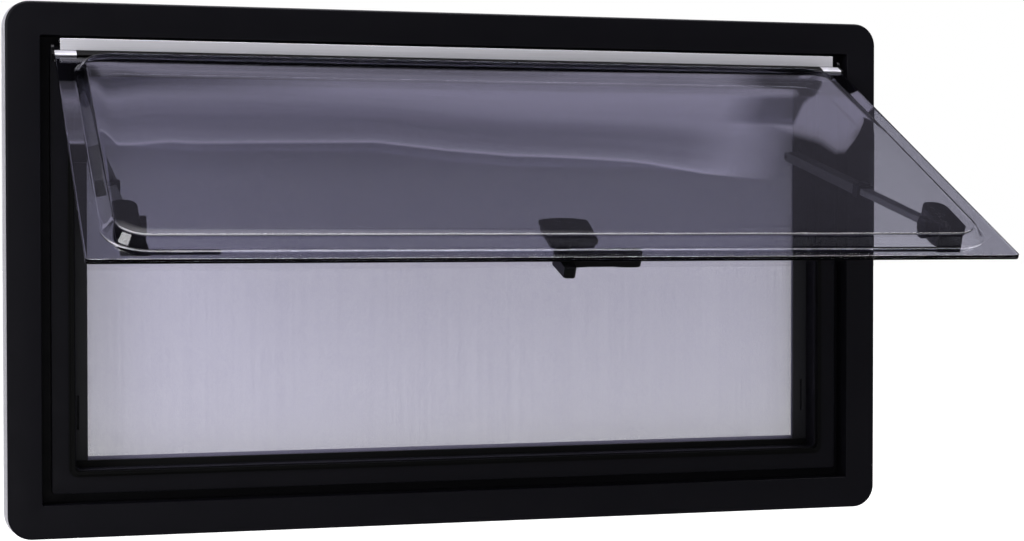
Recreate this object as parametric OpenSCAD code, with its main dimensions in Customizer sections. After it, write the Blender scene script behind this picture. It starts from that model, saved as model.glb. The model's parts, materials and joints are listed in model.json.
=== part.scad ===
/* [Outer frame] */
// Width of the outer frame over its flange
frame_w = 946; // [700:1:1200]
// Height of the outer frame over its flange
frame_h = 540; // [480:1:800]
// Width of the flange that lies on the wall
flange_w = 34; // [30:0.5:40]
// Thickness of the flange
flange_t = 6; // [5:0.1:9]
// Radius of the flange's outer corners
corner_r = 24; // [20:1:28]
// Rounding of the flange's outer front edge
edge_r = 4; // [2:0.1:4.5]
// How far the flange overlaps the wall around the cut-out
wall_overlap = 23; // [18:0.5:26]
// Thickness of the wall that is clamped
wall_t = 28; // [26:0.5:45]
// Width of the water channel inside the flange
channel_w = 10; // [7:0.5:14]
// Thickness of the channel's floor
floor_t = 8; // [5:0.5:10]
// Width of the seal face that the sash closes on
seat_w = 24; // [20:0.5:30]
// Depth of the seal face behind the flange's front
seat_y = 10; // [8:0.5:12]

/* [Sash] */
// Opening angle of the sash from closed
open_angle = 63.3; // [20:0.1:75]
// Gap between the sash and the flange at each side
side_gap = 13.5; // [8:0.5:18]
// Gap between the closed sash and the flange at the bottom
foot_gap = 3; // [2:0.5:8]
// Thickness of the flat pane
pane_t = 2; // [1.5:0.1:3]
// Corner radius of the flat pane
pane_r = 4; // [2:0.5:12]
// Rise of the domed pane over the flat one
dome_rise = 11; // [8:0.5:16]
// Thickness of the domed pane
dome_t = 2.4; // [1.8:0.1:3]
// How far the dome's wall leans in over its height
dome_lean = 13; // [9:0.5:18]
// Margin of flat pane beside the dome
dome_margin = 15.5; // [12:0.5:30]
// Margin of flat pane below the dome
dome_foot = 13; // [10:0.5:30]
// Corner radius of the dome's foot
dome_r = 40; // [30:1:60]

/* [Hinge] */
// Height of the hinge rail's bright face
rail_h = 11; // [9:0.5:16]
// Radius of the hinge bead
bead_r = 2.6; // [2:0.1:3]
// Play between the hinge bead and its socket
bead_play = 0.3; // [0.2:0.05:0.5]
// Wall of the hinge socket
socket_t = 1.7; // [1.2:0.1:2.5]
// Thickness of the aluminium profiles
profile_t = 1.6; // [1.2:0.1:2.5]
// Depth of pane held in the sash profile
pane_grip = 9; // [7:0.5:12]

/* [Stays] */
// Distance of each stay from the side of the frame's inner opening
stay_inset = 21; // [18:0.5:60]
// Distance from the top of the frame's inner opening to the stay's pivot on the frame
stay_drop = 82; // [50:1:140]
// Distance from the foot of the sash to the stay's pivot on it
stay_foot = 88.5; // [78:0.5:140]
// Width of the stay's outer channel
tube_w = 15; // [12:0.5:18]
// Height of the stay's outer channel
tube_h = 10; // [8:0.5:12]
// Length of the stay's outer channel
tube_l = 190; // [120:1:200]
// Wall of the stay's outer channel
tube_t = 1.5; // [1:0.1:2.5]
// Radius of the stay's pivot pins
stay_pin_r = 2.5; // [2:0.1:3]

/* [Catch] */
// Width of the catch's base
catch_w = 46; // [40:1:60]
// Length of the catch's base up the pane
catch_l = 46; // [42:1:56]
// Distance from the foot of the pane to the catch's base
catch_foot = 34.5; // [33:0.5:45]
// Height of the catch's base
catch_h = 8; // [6:0.5:10]
// Length of the catch's lever from its pivot
lever_l = 75; // [60:1:90]
// Width of the lever
lever_w = 12; // [10:0.5:16]
// Thickness of the lever
lever_t = 10; // [7:0.5:11]
// Length of the catch's tongue from its pivot
tongue_l = 26; // [22:0.5:30]

/* [Blind and flyscreen] */
// How far the guide rails stand into the frame's inner opening at each side
rail_lip = 7.5; // [0:0.5:40]
// How far the boxes stand into the frame's inner opening at the top and bottom
box_lip = 6.5; // [0:0.5:30]
// Width of the guide rails
guide_w = 40; // [28:0.5:50]
// Thickness of the aluminium clamp ring
clamp_t = 4; // [3:0.5:6]
// How far the clamp ring stands out past the flange
clamp_out = 2.5; // [0:0.1:5]
// Height of the blind's and the screen's boxes
box_h = 52; // [45:1:60]
// Depth of the blind's and the screen's boxes
box_d = 38; // [34:1:50]
// Wall of the boxes and rails
box_t = 2; // [1.5:0.1:3]
// Thickness of the flyscreen
screen_t = 0.8; // [0.5:0.1:1]
// Radius of the screen's roller, with the screen drawn
screen_roll_r = 10; // [7:0.5:10.2]
// Radius of the rolled blind
blind_roll_r = 13; // [9:0.5:13.5]

/* [Hidden] */
$fn = 48;
tiny = 0.01;

// Heights over the origin, which is on the back of the flange's lower strip
middle_z = frame_h / 2 - flange_w / 2;
inner_w = frame_w - 2 * flange_w;
inner_h = frame_h - 2 * flange_w;
cutout_w = frame_w - 2 * wall_overlap;
cutout_h = frame_h - 2 * wall_overlap;
seat_out_w = inner_w - 2 * channel_w;
seat_out_h = inner_h - 2 * channel_w;
seat_in_w = seat_out_w - 2 * seat_w;
seat_in_h = seat_out_h - 2 * seat_w;
frame_back = flange_t + wall_t;
opening_w = seat_in_w - 2 * rail_lip;
opening_h = seat_in_h - 2 * box_lip;

// The sash hangs from a bead under the rail, at the top of the flange's opening
rail_gap = 1.5;
rail_z = inner_h / 2 - rail_gap;
hinge_y = 1;
hinge_z = rail_z - rail_h - 2;
sash_w = inner_w - 2 * side_gap;
sash_l = hinge_z + inner_h / 2 - foot_gap;
pane_top = socket_t + bead_r + bead_play + 2;
grip_play = 0.2;
profile_end = pane_top + pane_grip;
rail_l = sash_w - 11;

// Outline of the dome's foot on the pane, down from the hinge
dome_w = sash_w - 2 * dome_margin;
dome_top = profile_end + 3;
dome_l = sash_l - dome_foot - dome_top;
sash_t = dome_t + pane_t;

// A point of the closed sash, down from the hinge and in from the pane, once it is open
function opened(down, in) = [hinge_y + in * cos(open_angle) - down * sin(open_angle),
                             hinge_z - in * sin(open_angle) - down * cos(open_angle)];

// Each stay runs from its anchor on the frame to its bracket on the sash
stay_x = seat_in_w / 2 - stay_inset;
stay_pivot_z = seat_in_h / 2 - stay_drop;
stay_reach = sash_l - stay_foot;
anchor_y = 27;
bracket_pivot_in = sash_t + 13;
stay_from = [anchor_y, stay_pivot_z];
stay_to = opened(stay_reach, bracket_pivot_in);
stay_l = norm(stay_to - stay_from);
stay_tilt = atan2(stay_to[1] - stay_from[1], -(stay_to[0] - stay_from[0]));
slide_play = 0.3;
anchor_d = 12;
anchor_h = 26;
collar_t = 1.5;
collar_back = 9;
collar_front = 3;
fin_w = 6;
fin_h = 4.5;
fin_l = 18;
rod_w = tube_w - 2 * tube_t - 2 * slide_play;
rod_h = tube_h - 2 * tube_t - 2 * slide_play;
rod_in = 60;

// Parts of the stay's bracket on the sash
bracket_in = 10;
bracket_out = 18;
bracket_w = bracket_in + bracket_out;
bracket_over = 26;
bracket_under = 26;
bracket_top = stay_reach - bracket_over;
bracket_low = stay_reach + bracket_under;
bracket_end = sash_l - dome_foot - 6;
bracket_h = 20;
pin_in = bracket_pivot_in - sash_t;
nose_r = bracket_h - pin_in;
cheek_t = 4;
slot_w = rod_w + 0.6;
slot_down = 12;
foot_bar_l = 85;
foot_bar_t = 3;
foot_bar_w = 6;
web_w = 20;
knob_r = 10;
knob_t = 6;

// The catch sits at the foot of the sash, its lever over its base
catch_end = sash_l - catch_foot;
catch_top = catch_end - catch_l;
catch_x = 3;
lever_x = -5;
lever_down = catch_end - 6;
lever_lift = 6.2;
lever_in = sash_t + catch_h + lever_lift;
catch_pin_r = 4;
pin_play = 0.15;
pin_head_t = 2;
tongue_w = 13;
crown_r = 66.5;
catch_step = 2;
nose_w = tongue_w - 4;
waist_w = lever_w - 3;
bulge_l = 18;

// Pocket in the frame that the tongue turns into
pocket_w = 40;
pocket_d = 12;

// Boxes behind the clamp ring
clamp_w = frame_w + 2 * clamp_out;
clamp_h = frame_h + 2 * clamp_out;
clamp_back = 3;
screw_r = 2.2;
screw_in = 5.5;
screws_across = 6;
screws_up = 3;
lining_w = opening_w + 2 * guide_w;
lining_h = opening_h + 2 * box_h;
box_y = frame_back + clamp_t;
screen_y = box_y + 14;
bar_h = 10;
bar_d = 4.4;
bar_play = 0.3;
roller_up = box_h - box_t - 1.5 - blind_roll_r;

// Slots in the guide rails: how far back each starts, how wide and how deep they are
slot_backs = [2.5, 12.8];
guide_gap = 6;
guide_slot = 12;
rail_d = slot_backs[1] + guide_gap + box_t;
nose_out = 6.3;
nose_t = slot_backs[0];
mouth_d = slot_backs[1] + guide_gap - slot_backs[0];

// Slot in each rail's face where the screen's bar is locked
lock_w = 2.5;
lock_h = 35;
lock_up = 32;

// Centre of the window, on the flange's front plane
module in_wall() {
    translate([0, -flange_t, middle_z]) children();
}

// The sash's own place: x across, y in from the pane's outer face, z up from the hinge
module on_sash() {
    in_wall() translate([0, hinge_y, hinge_z]) rotate([-open_angle, 0, 0]) children();
}

// The stay's own place: x across, y along it from the frame, z up
module on_stay(side) {
    in_wall() translate([side * stay_x, anchor_y, stay_pivot_z]) rotate([-stay_tilt, 0, 0])
        mirror([0, 1, 0]) children();
}

// Flat outline of a rectangle with round corners, drawn across and up
module round_rect(w, h, r) {
    square([w - 2 * r, h], center = true);
    square([w, h - 2 * r], center = true);
    for (x = [-1, 1], z = [-1, 1]) translate([x * (w / 2 - r), z * (h / 2 - r)]) circle(r);
}

// Stands an outline up in the wall's plane and gives it depth from y0 to y1
module slab(y0, y1) {
    translate([0, y1, 0]) rotate([90, 0, 0]) linear_extrude(y1 - y0) children();
}

// A ring between two upright outlines
module ring(w, h, r, in_w, in_h, in_r, y0, y1) {
    slab(y0, y1) difference() {
        round_rect(w, h, r);
        round_rect(in_w, in_h, in_r);
    }
}

// Carries a section across the window, centred
module along_x(length) {
    translate([-length / 2, 0, 0]) rotate([90, 0, 90]) linear_extrude(length) children();
}

// Section of the flange's rim: inward from its edge, and back from its front
module rim_section() {
    translate([edge_r, 0]) square([corner_r - edge_r, flange_t]);
    translate([0, edge_r]) square([edge_r, flange_t - edge_r]);
    intersection() {
        translate([edge_r, edge_r]) circle(edge_r);
        square(edge_r);
    }
}

// Runs a section round a rectangle with round corners: inward from its edge, and back
module swept(w, h, r) {
    for (side = [0, 1]) mirror([side, 0, 0]) {
        translate([-w / 2, 0, -h / 2 + r]) linear_extrude(h - 2 * r) children();
        for (top = [0, 1]) mirror([0, 0, top]) {
            translate([-w / 2 + r, 0, -h / 2 + r]) rotate([90, 0, 0]) mirror([1, 0, 0]) mirror([0, 1, 0])
                rotate_extrude(angle = 90) translate([r, 0]) mirror([1, 0]) mirror([0, 1]) children();
        }
    }
    for (top = [0, 1]) mirror([0, 0, top])
        translate([w / 2 - r, 0, -h / 2]) rotate([0, -90, 0]) linear_extrude(w - 2 * r) children();
}

// Moulded frame: flange, spigot through the wall, water channel and seal face
module outer_frame() {
    color([0.09, 0.09, 0.11]) in_wall() difference() {
        union() {
            swept(frame_w, frame_h, corner_r) rim_section();
            ring(frame_w - 2 * corner_r, frame_h - 2 * corner_r, 1, inner_w, inner_h, 2, 0, flange_t);
            ring(cutout_w, cutout_h, 20, inner_w, inner_h, 2, flange_t, frame_back);
            ring(inner_w + 2, inner_h + 2, 2, seat_in_w, seat_in_h, 6, frame_back - floor_t, frame_back);
            ring(seat_out_w, seat_out_h, 3, seat_in_w, seat_in_h, 6, seat_y, frame_back);
        }
        // Pocket behind the seal face that the catch's tongue turns into
        translate([lever_x - pocket_w / 2, seat_y + 5, -seat_out_h / 2 + 4]) cube([pocket_w, pocket_d, seat_w]);
    }
}

// Bulb seal along the inner edge of the seal face
module frame_gasket() {
    color([0.03, 0.03, 0.03]) in_wall() {
        ring(seat_in_w + 14, seat_in_h + 14, 8, seat_in_w + 2, seat_in_h + 2, 5, seat_y - 1.5, seat_y);
        ring(seat_in_w + 9, seat_in_h + 9, 6, seat_in_w + 3, seat_in_h + 3, 5, seat_y - 5, seat_y - 1.5);
    }
}

// Aluminium rail along the top of the frame, with the bead that the sash turns on
module hinge_rail() {
    color([0.75, 0.75, 0.77]) in_wall() along_x(rail_l) {
        translate([0, rail_z - rail_h]) square([profile_t + 0.6, rail_h]);
        translate([0, rail_z - profile_t]) square([frame_back - floor_t, profile_t]);
        translate([frame_back - floor_t - profile_t, inner_h / 2 - channel_w + 0.3])
            square([profile_t, channel_w - rail_gap - 0.3]);
        translate([hinge_y - 0.8, hinge_z]) square([profile_t, rail_z - rail_h - hinge_z + tiny]);
        translate([hinge_y, hinge_z]) circle(bead_r);
    }
}

// Aluminium profile that grips the pane's top edge and hooks round the rail's bead
module sash_hinge_profile() {
    socket_r = bead_r + bead_play + socket_t;
    color([0.78, 0.78, 0.8]) on_sash() along_x(sash_w) difference() {
        union() {
            circle(socket_r);
            translate([-profile_t, -pane_top + grip_play]) square([sash_t + 2 * profile_t, profile_t + 0.2]);
            translate([-profile_t, -profile_end]) square([profile_t - grip_play, pane_grip + 1]);
            translate([sash_t + grip_play, -profile_end]) square([profile_t - grip_play, pane_grip + 1]);
            translate([-1.5, -pane_top]) square([4, 2.5]);
        }
        circle(bead_r + bead_play);
        // The socket is open where the rail's neck passes as the sash turns
        polygon([[0, 0], [3, 12], [-12, 12], [-12, -1.5]]);
    }
}

module hinge_cap(side) {
    color([0.06, 0.06, 0.06]) on_sash() translate([side * (sash_w / 2 + 1.5), 0, 0])
        rotate([90, 0, 90]) linear_extrude(3, center = true) {
            circle(bead_r + bead_play + socket_t + 0.8);
            translate([-profile_t, -profile_end]) square([sash_t + 2 * profile_t, profile_end]);
        }
}
module hinge_cap_left() { hinge_cap(-1); }
module hinge_cap_right() { hinge_cap(1); }

// Inner sheet: flat, and the one that everything on the sash is fixed to
module flat_pane() {
    color([0.35, 0.34, 0.38, 0.4]) on_sash() translate([0, 0, -(sash_l + pane_top) / 2])
        slab(dome_t, sash_t) round_rect(sash_w, sash_l - pane_top, pane_r);
}

// Points down the dome's wall, a set depth under its outer face
function wall_points(depth) = [for (i = [0:wall_steps]) let (
        part = i / wall_steps,
        slope = atan(dome_rise * PI / 2 * sin(180 * part) / dome_lean))
    [dome_lean * part + depth * sin(slope), depth * cos(slope) - dome_rise * (1 - cos(180 * part)) / 2]];
wall_steps = 10;

// Outer sheet: drawn outwards over an air gap, its margins bonded to the flat pane
module domed_pane() {
    crown_w = dome_w - 2 * dome_lean;
    crown_l = dome_l - 2 * dome_lean;
    reversed = [for (i = [wall_steps:-1:0]) wall_points(dome_t)[i]];
    color([0.4, 0.39, 0.46, 0.4]) on_sash() {
        slab(0, dome_t) difference() {
            translate([0, -(sash_l + pane_top) / 2]) round_rect(sash_w, sash_l - pane_top, pane_r);
            translate([0, -dome_top - dome_l / 2]) round_rect(dome_w, dome_l, dome_r);
        }
        translate([0, 0, -dome_top - dome_l / 2]) {
            swept(dome_w, dome_l, dome_r) polygon(concat(wall_points(0), reversed));
            slab(-dome_rise, dome_t - dome_rise) round_rect(crown_w, crown_l, dome_r - dome_lean);
        }
    }
}

// Bracket on the jamb that carries the frame end of a stay
module stay_anchor(side) {
    color([0.07, 0.07, 0.08]) in_wall() translate([side * stay_x, anchor_y, stay_pivot_z]) {
        jamb = seat_in_w / 2 - stay_x;
        near = tube_w / 2 + 0.6;
        difference() {
            translate([side * (jamb + near) / 2, 0, 0]) cube([jamb - near, anchor_d, anchor_h], center = true);
            // Sockets of the two screws that hold it to the jamb
            for (up = [-1, 1]) translate([side * near, 0, up * (anchor_h / 2 - 4.5)]) rotate([0, 90, 0])
                cylinder(r = 2.6, h = 7, center = true);
        }
        translate([side * (jamb - near) / 2, 0, 0]) rotate([0, 90, 0])
            cylinder(r = stay_pin_r, h = jamb + near, center = true);
    }
}
module stay_anchor_left() { stay_anchor(-1); }
module stay_anchor_right() { stay_anchor(1); }

// Outer channel of a stay, with its eye on the anchor's pin
module stay_channel(side) {
    color([0.1, 0.1, 0.11]) on_stay(side) difference() {
        union() {
            translate([-tube_w / 2, 0, -tube_h / 2]) cube([tube_w, tube_l, tube_h]);
            rotate([0, 90, 0]) cylinder(d = tube_h, h = tube_w, center = true);
        }
        translate([-tube_w / 2 + tube_t, 8, -tube_h / 2 + tube_t])
            cube([tube_w - 2 * tube_t, tube_l, tube_h - 2 * tube_t]);
        rotate([0, 90, 0]) cylinder(r = stay_pin_r + pin_play, h = 2 * tube_w, center = true);
    }
}
module stay_channel_left() { stay_channel(-1); }
module stay_channel_right() { stay_channel(1); }

// Inner rod of a stay, drawn out to the bracket's pin
module stay_rod(side) {
    color([0.16, 0.16, 0.18]) on_stay(side) difference() {
        union() {
            translate([-rod_w / 2, tube_l - rod_in, -rod_h / 2]) cube([rod_w, stay_l - tube_l + rod_in, rod_h]);
            translate([0, stay_l, 0]) rotate([0, 90, 0]) cylinder(r = 5, h = rod_w, center = true);
        }
        translate([0, stay_l, 0]) rotate([0, 90, 0])
            cylinder(r = stay_pin_r + pin_play, h = 2 * tube_w, center = true);
    }
}
module stay_rod_left() { stay_rod(-1); }
module stay_rod_right() { stay_rod(1); }

// Collar with a thumb fin at the mouth of a stay's channel
module stay_collar(side) {
    color([0.05, 0.05, 0.05]) on_stay(side) difference() {
        union() {
            translate([-tube_w / 2 - collar_t, tube_l - collar_back, -tube_h / 2 - collar_t])
                cube([tube_w + 2 * collar_t, collar_back + collar_front, tube_h + 2 * collar_t]);
            rotate([90, 0, 90]) linear_extrude(fin_w, center = true) polygon([
                [tube_l - collar_back, tube_h / 2], [tube_l + collar_front, tube_h / 2],
                [tube_l - collar_back + fin_l, tube_h / 2 + fin_h - 1.5],
                [tube_l - collar_back + fin_l, tube_h / 2 + fin_h], [tube_l - collar_back, tube_h / 2 + fin_h]]);
        }
        translate([-tube_w / 2 - 0.1, tube_l - 2 * collar_back, -tube_h / 2 - 0.1])
            cube([tube_w + 0.2, 2 * collar_back + 0.1, tube_h + 0.2]);
        translate([-rod_w / 2 - slide_play, tube_l - 1, -rod_h / 2 - slide_play])
            cube([rod_w + 2 * slide_play, collar_front + 2, rod_h + 2 * slide_play]);
    }
}
module stay_collar_left() { stay_collar(-1); }
module stay_collar_right() { stay_collar(1); }

// Housing on the sash that takes the rod's end, on a bar along the pane's foot
module stay_bracket(side) {
    middle = stay_x + (bracket_out - bracket_in) / 2;
    color([0.04, 0.04, 0.05]) on_sash() mirror([side > 0 ? 0 : 1, 0, 0]) difference() {
        union() {
            translate([middle, sash_t, 0]) intersection() {
                rotate([90, 0, 90]) linear_extrude(bracket_w, center = true) {
                    polygon([[0, -bracket_top], [0, -bracket_low], [bracket_h - 2, -bracket_low],
                             [bracket_h, -bracket_low + 3], [bracket_h, -stay_reach], [pin_in, -stay_reach + nose_r],
                             [4, -bracket_top]]);
                    translate([pin_in, -stay_reach]) circle(nose_r);
                }
                slab(0, bracket_h) {
                    translate([0, -bracket_top - bracket_w / 2]) circle(bracket_w / 2);
                    translate([-bracket_w / 2, -bracket_low])
                        square([bracket_w, bracket_low - bracket_top - bracket_w / 2]);
                }
            }
            // Web and foot bar that carry it on the pane
            translate([stay_x - bracket_in, sash_t, -bracket_end - foot_bar_w / 2])
                cube([web_w, foot_bar_t, bracket_end + foot_bar_w / 2 - bracket_low + 1]);
            translate([stay_x - bracket_in + web_w, sash_t, -bracket_end - foot_bar_w / 2]) slab(0, foot_bar_t) {
                translate([-foot_bar_l, -foot_bar_w / 2]) square([foot_bar_l, foot_bar_w]);
                translate([-foot_bar_l, 0]) circle(foot_bar_w / 2);
            }
            translate([middle, bracket_pivot_in, -stay_reach]) rotate([0, 90, 0])
                cylinder(r = stay_pin_r, h = bracket_w, center = true);
        }
        // Slot for the rod between the two cheeks
        difference() {
            translate([stay_x - slot_w / 2, sash_t + cheek_t, -stay_reach - slot_down])
                cube([slot_w, bracket_h, slot_down + 2 * bracket_h]);
            translate([middle, bracket_pivot_in, -stay_reach]) rotate([0, 90, 0])
                cylinder(r = stay_pin_r, h = bracket_w + 2, center = true);
        }
    }
}
module stay_bracket_left() { stay_bracket(-1); }
module stay_bracket_right() { stay_bracket(1); }

// Knurled knob that clamps the rod's pivot
module stay_knob(side) {
    teeth = 18;
    color([0.05, 0.05, 0.06]) on_sash()
        translate([side * (stay_x - bracket_in - knob_t / 2 - 0.2), bracket_pivot_in, -stay_reach])
            rotate([0, 90, 0]) difference() {
                cylinder(r = knob_r, h = knob_t, center = true);
                for (i = [0:teeth - 1]) rotate([0, 0, i * 360 / teeth]) translate([knob_r, 0, 0])
                    cylinder(r = 1, h = knob_t + 1, center = true, $fn = 16);
            }
}
module stay_knob_left() { stay_knob(-1); }
module stay_knob_right() { stay_knob(1); }

// Base of the catch, with the pin that the lever turns on
module catch_base() {
    color([0.08, 0.08, 0.09]) on_sash() {
        for (step = [[0, 3, 0], [3 - tiny, catch_h, catch_step]])
            translate([catch_x, sash_t, -(catch_top + catch_end) / 2]) slab(step[0], step[1]) intersection() {
                round_rect(catch_w - 2 * step[2], catch_l - 2 * step[2], 6 - step[2]);
                translate([0, catch_l / 2 - step[2] - crown_r]) circle(r = crown_r, $fn = 96);
            }
        translate([lever_x, sash_t, -lever_down]) rotate([-90, 0, 0]) {
            cylinder(r = catch_pin_r, h = catch_h + lever_lift + lever_t + pin_play);
            cylinder(r = catch_pin_r + 2.5, h = catch_h + lever_lift - pin_play);
            translate([0, 0, catch_h + lever_lift + lever_t + pin_play])
                cylinder(r = catch_pin_r + 1.5, h = pin_head_t);
        }
    }
}

// Push button in the upper half of the catch's base
module catch_button() {
    color([0.05, 0.05, 0.05]) on_sash()
        translate([catch_x + 12, sash_t + catch_h, -catch_top - 13]) slab(0, 2.4) round_rect(14, 9, 3);
}

// Lever of the catch, with the tongue that turns behind the frame's seal face
module catch_lever() {
    color([0.04, 0.04, 0.05]) on_sash() translate([lever_x, lever_in, -lever_down]) difference() {
        union() {
            slab(0, lever_t) {
                circle(lever_w / 2 + 2);
                translate([0, -waist_w / 2]) square([lever_l - bulge_l, waist_w]);
                polygon([[0, lever_w / 2 + 1], [0, -lever_w / 2 - 1],
                         [lever_l / 3, -waist_w / 2], [lever_l / 3, waist_w / 2]]);
                translate([lever_l - bulge_l - tiny, 0]) {
                    polygon([[-bulge_l / 2, waist_w / 2], [-bulge_l / 2, -waist_w / 2],
                             [tiny, -lever_w / 2], [tiny, lever_w / 2]]);
                    translate([0, -lever_w / 2]) square([bulge_l - lever_w / 2 + tiny, lever_w]);
                }
                translate([lever_l - lever_w / 2, 0]) circle(lever_w / 2);
            }
            slab(0, lever_t) {
                polygon([[-lever_w / 2 - 1.5, 0], [-lever_w / 2 - 1.5, -3],
                         [-nose_w / 2, -tongue_l + 2], [-nose_w / 2 + 2, -tongue_l],
                         [nose_w / 2, -tongue_l], [tongue_w / 2, -tongue_l + 2], [tongue_w / 2, 0]]);
            }
        }
        rotate([-90, 0, 0]) cylinder(r = catch_pin_r + pin_play, h = 3 * lever_t, center = true);
    }
}

// Countersunk hole for a screw, from the back of the clamp ring
module screw_hole(x, z) {
    translate([x, frame_back - 1, z]) rotate([-90, 0, 0]) cylinder(r = screw_r, h = clamp_t + 2);
    translate([x, box_y - 1.6, z]) rotate([-90, 0, 0]) cylinder(r1 = screw_r, r2 = screw_r + 2, h = 1.6 + tiny);
}

// Ring of aluminium that clamps the frame from inside the wall
module clamp_ring() {
    hole_x = cutout_w / 2 - screw_in;
    hole_z = cutout_h / 2 - screw_in;
    color([0.7, 0.7, 0.72]) in_wall() difference() {
        ring(clamp_w, clamp_h, corner_r + clamp_out, seat_in_w + 2 * clamp_back, seat_in_h + 2 * clamp_back, 6,
             frame_back, box_y);
        for (side = [-1, 1]) {
            for (i = [0:screws_across - 1])
                screw_hole(-hole_x + 2 * hole_x * (i + 0.5) / screws_across, side * hole_z);
            for (i = [0:screws_up - 1])
                screw_hole(side * hole_x, -hole_z + 2 * hole_z * (i + 0.5) / screws_up);
        }
    }
}

// A hollow box across the window, open towards the opening
module roller_box(up) {
    z0 = opening_h / 2;
    in_wall() mirror([0, 0, up ? 0 : 1]) difference() {
        translate([-lining_w / 2, box_y, z0]) cube([lining_w, box_d, box_h]);
        translate([-lining_w / 2 + 3, box_y + box_t, z0 + box_t])
            cube([lining_w - 6, box_d - 2 * box_t, box_h - 2 * box_t]);
        // Mouth that the cloth comes out of
        translate([-opening_w / 2 - guide_slot, box_y + slot_backs[0], z0 - 1])
            cube([opening_w + 2 * guide_slot, mouth_d, box_t + 2]);
    }
}
module top_box() { color([0.06, 0.06, 0.07]) roller_box(true); }
module bottom_box() { color([0.06, 0.06, 0.07]) roller_box(false); }

// Rail at each side that guides the screen and the blind
module side_rail(side) {
    color([0.06, 0.06, 0.07]) in_wall() mirror([side > 0 ? 0 : 1, 0, 0]) difference() {
        union() {
            translate([opening_w / 2, box_y, -opening_h / 2]) cube([guide_w, rail_d, opening_h]);
            // Nose that covers the screen's edge from the front
            translate([opening_w / 2 - nose_out, box_y, -opening_h / 2]) cube([nose_out + 1, nose_t, opening_h]);
        }
        translate([opening_w / 2 + guide_slot + box_t, box_y + box_t, -opening_h / 2 - 1])
            cube([guide_w - guide_slot - 2 * box_t, rail_d - 2 * box_t, opening_h + 2]);
        for (back = slot_backs) translate([opening_w / 2 - 1, box_y + back, -opening_h / 2 - 1])
            cube([guide_slot + 1, guide_gap, opening_h + 2]);
        translate([opening_w / 2 + lock_w, box_y - 1, lock_up - opening_h / 2])
            cube([lock_w, slot_backs[0] + 2, lock_h]);
    }
}
module side_rail_left() { side_rail(-1); }
module side_rail_right() { side_rail(1); }

// Rolled cloth on its tube, held by the box's ends
module cloth_roller(up, y, r) {
    in_wall() mirror([0, 0, up ? 0 : 1])
        translate([0, y, opening_h / 2 + roller_up]) rotate([0, 90, 0])
            cylinder(r = r, h = lining_w - 6.6, center = true);
}
module screen_roller() {
    color([0.4, 0.4, 0.42]) cloth_roller(true, screen_y + screen_t + 0.2 + screen_roll_r, screen_roll_r);
}
module blind_roller() { color([0.7, 0.7, 0.68]) cloth_roller(false, box_y + box_d / 2 + 3, blind_roll_r); }

// Drawn flyscreen, from the top box to its bar at the foot of the opening
module flyscreen() {
    color([0.6, 0.6, 0.65, 0.6]) in_wall()
        translate([-opening_w / 2 - guide_slot + 2, screen_y, -opening_h / 2 - 1])
            cube([opening_w + 2 * guide_slot - 4, screen_t, opening_h + 1 + roller_up]);
}

// Bar across the free end of a cloth
module pull_bar(y) {
    in_wall() translate([0, y, -opening_h / 2 - 1.3 - bar_h / 2]) rotate([90, 0, 90])
        linear_extrude(opening_w + 2 * guide_slot - 6, center = true) round_rect(bar_d, bar_h, 1.5);
}
module screen_bar() { color([0.05, 0.05, 0.05]) pull_bar(screen_y + bar_d / 2 - bar_play); }
module blind_bar() { color([0.05, 0.05, 0.05]) pull_bar(box_y + slot_backs[0] + bar_play + bar_d / 2); }

outer_frame();
frame_gasket();
hinge_rail();
sash_hinge_profile();
hinge_cap_left();
hinge_cap_right();
flat_pane();
domed_pane();
stay_anchor_left();
stay_anchor_right();
stay_channel_left();
stay_channel_right();
stay_rod_left();
stay_rod_right();
stay_collar_left();
stay_collar_right();
stay_bracket_left();
stay_bracket_right();
stay_knob_left();
stay_knob_right();
catch_base();
catch_button();
catch_lever();
clamp_ring();
top_box();
bottom_box();
side_rail_left();
side_rail_right();
screen_roller();
flyscreen();
screen_bar();
blind_roller();
blind_bar();
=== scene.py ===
import bpy, bmesh, json, math
from mathutils import Matrix, Vector


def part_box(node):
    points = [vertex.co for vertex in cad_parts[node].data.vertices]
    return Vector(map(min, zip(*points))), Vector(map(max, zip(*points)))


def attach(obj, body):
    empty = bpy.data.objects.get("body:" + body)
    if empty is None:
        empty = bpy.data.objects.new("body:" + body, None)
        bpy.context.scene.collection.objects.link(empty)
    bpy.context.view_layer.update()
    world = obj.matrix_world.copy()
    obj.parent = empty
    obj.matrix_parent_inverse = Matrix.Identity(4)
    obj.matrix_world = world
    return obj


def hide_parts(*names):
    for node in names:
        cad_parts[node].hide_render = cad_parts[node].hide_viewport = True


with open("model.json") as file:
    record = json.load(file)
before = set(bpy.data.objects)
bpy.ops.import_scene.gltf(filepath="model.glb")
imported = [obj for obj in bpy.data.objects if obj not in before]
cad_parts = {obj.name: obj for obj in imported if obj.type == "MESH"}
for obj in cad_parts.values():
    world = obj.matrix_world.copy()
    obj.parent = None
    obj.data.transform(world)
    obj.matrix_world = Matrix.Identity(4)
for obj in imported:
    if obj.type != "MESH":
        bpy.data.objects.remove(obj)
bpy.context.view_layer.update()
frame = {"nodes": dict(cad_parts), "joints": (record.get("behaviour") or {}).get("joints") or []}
nodes = frame["nodes"]
millimetre = 0.001
print("frame loaded:", len(nodes), "nodes")

# Where things are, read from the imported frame. The window's own place has its middle on the
# flange's front plane: x across, y into the wall, z up, in millimetres.
flangeLow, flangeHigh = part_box("outer_frame")
windowMiddle = Vector(((flangeLow.x + flangeHigh.x) / 2, flangeLow.y, (flangeLow.z + flangeHigh.z) / 2))
frameWidth = (flangeHigh.x - flangeLow.x) / millimetre
frameHeight = (flangeHigh.z - flangeLow.z) / millimetre

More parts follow.
